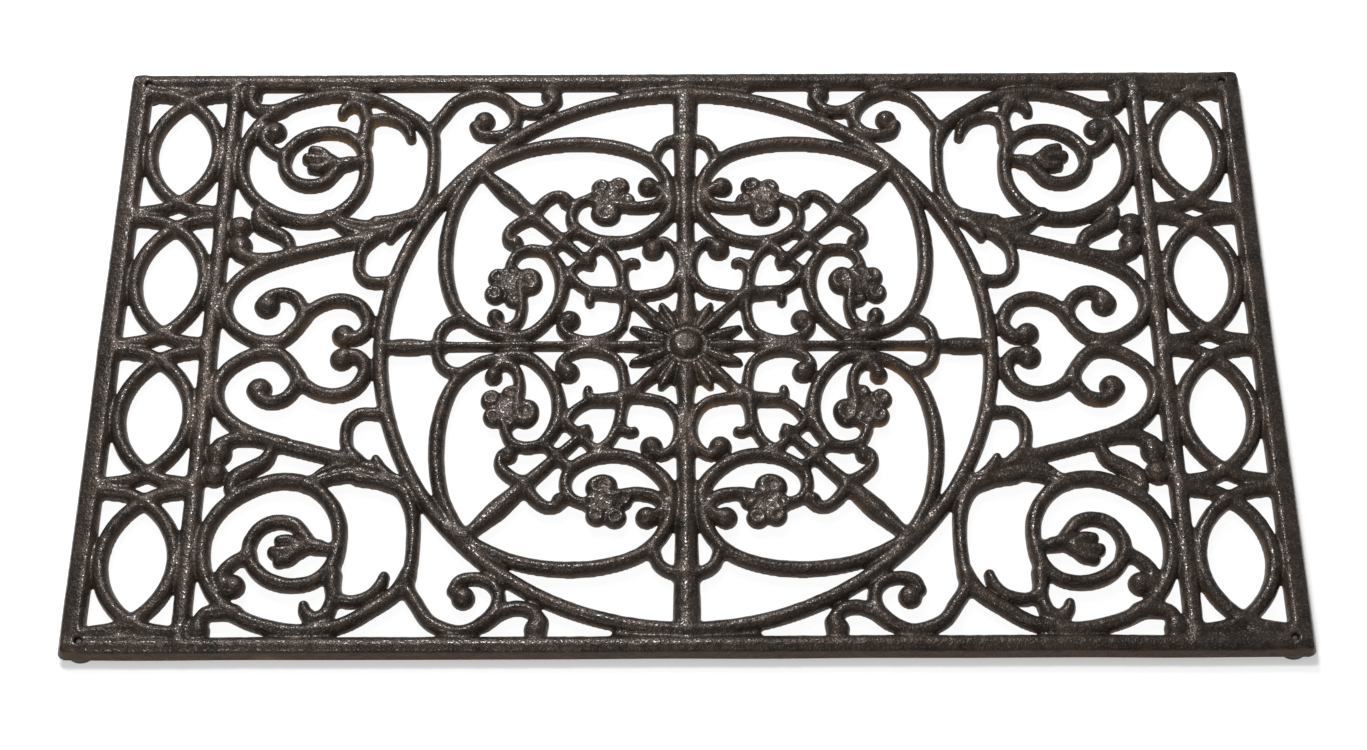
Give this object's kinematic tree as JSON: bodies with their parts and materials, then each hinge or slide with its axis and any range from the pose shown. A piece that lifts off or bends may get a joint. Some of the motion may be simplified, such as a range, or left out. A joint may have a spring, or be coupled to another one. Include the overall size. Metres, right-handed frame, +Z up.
{
  "type": "cast iron door mat",
  "caption": "Oblong openwork door mat of cast iron scrollwork, with a ring medallion in the middle and a lattice at each end, standing on rubber feet.",
  "frame": {"origin": "middle of the mat, on the floor that its feet stand on", "axes": "+X along the length to the right, +Y to the back, +Z up"},
  "size_m": [0.73, 0.412, 0.0155],
  "materials": {
    "iron": "dark brown lacquer over a grainy sand-cast surface, with a little rust dust",
    "rubber": "matt black"
  },
  "bodies": {
    "root": {"mat_casting": "iron", "rubber_foot_front_left": "rubber", "rubber_foot_back_left": "rubber", "rubber_foot_front_right": "rubber", "rubber_foot_back_right": "rubber"}
  },
  "joints": []
}
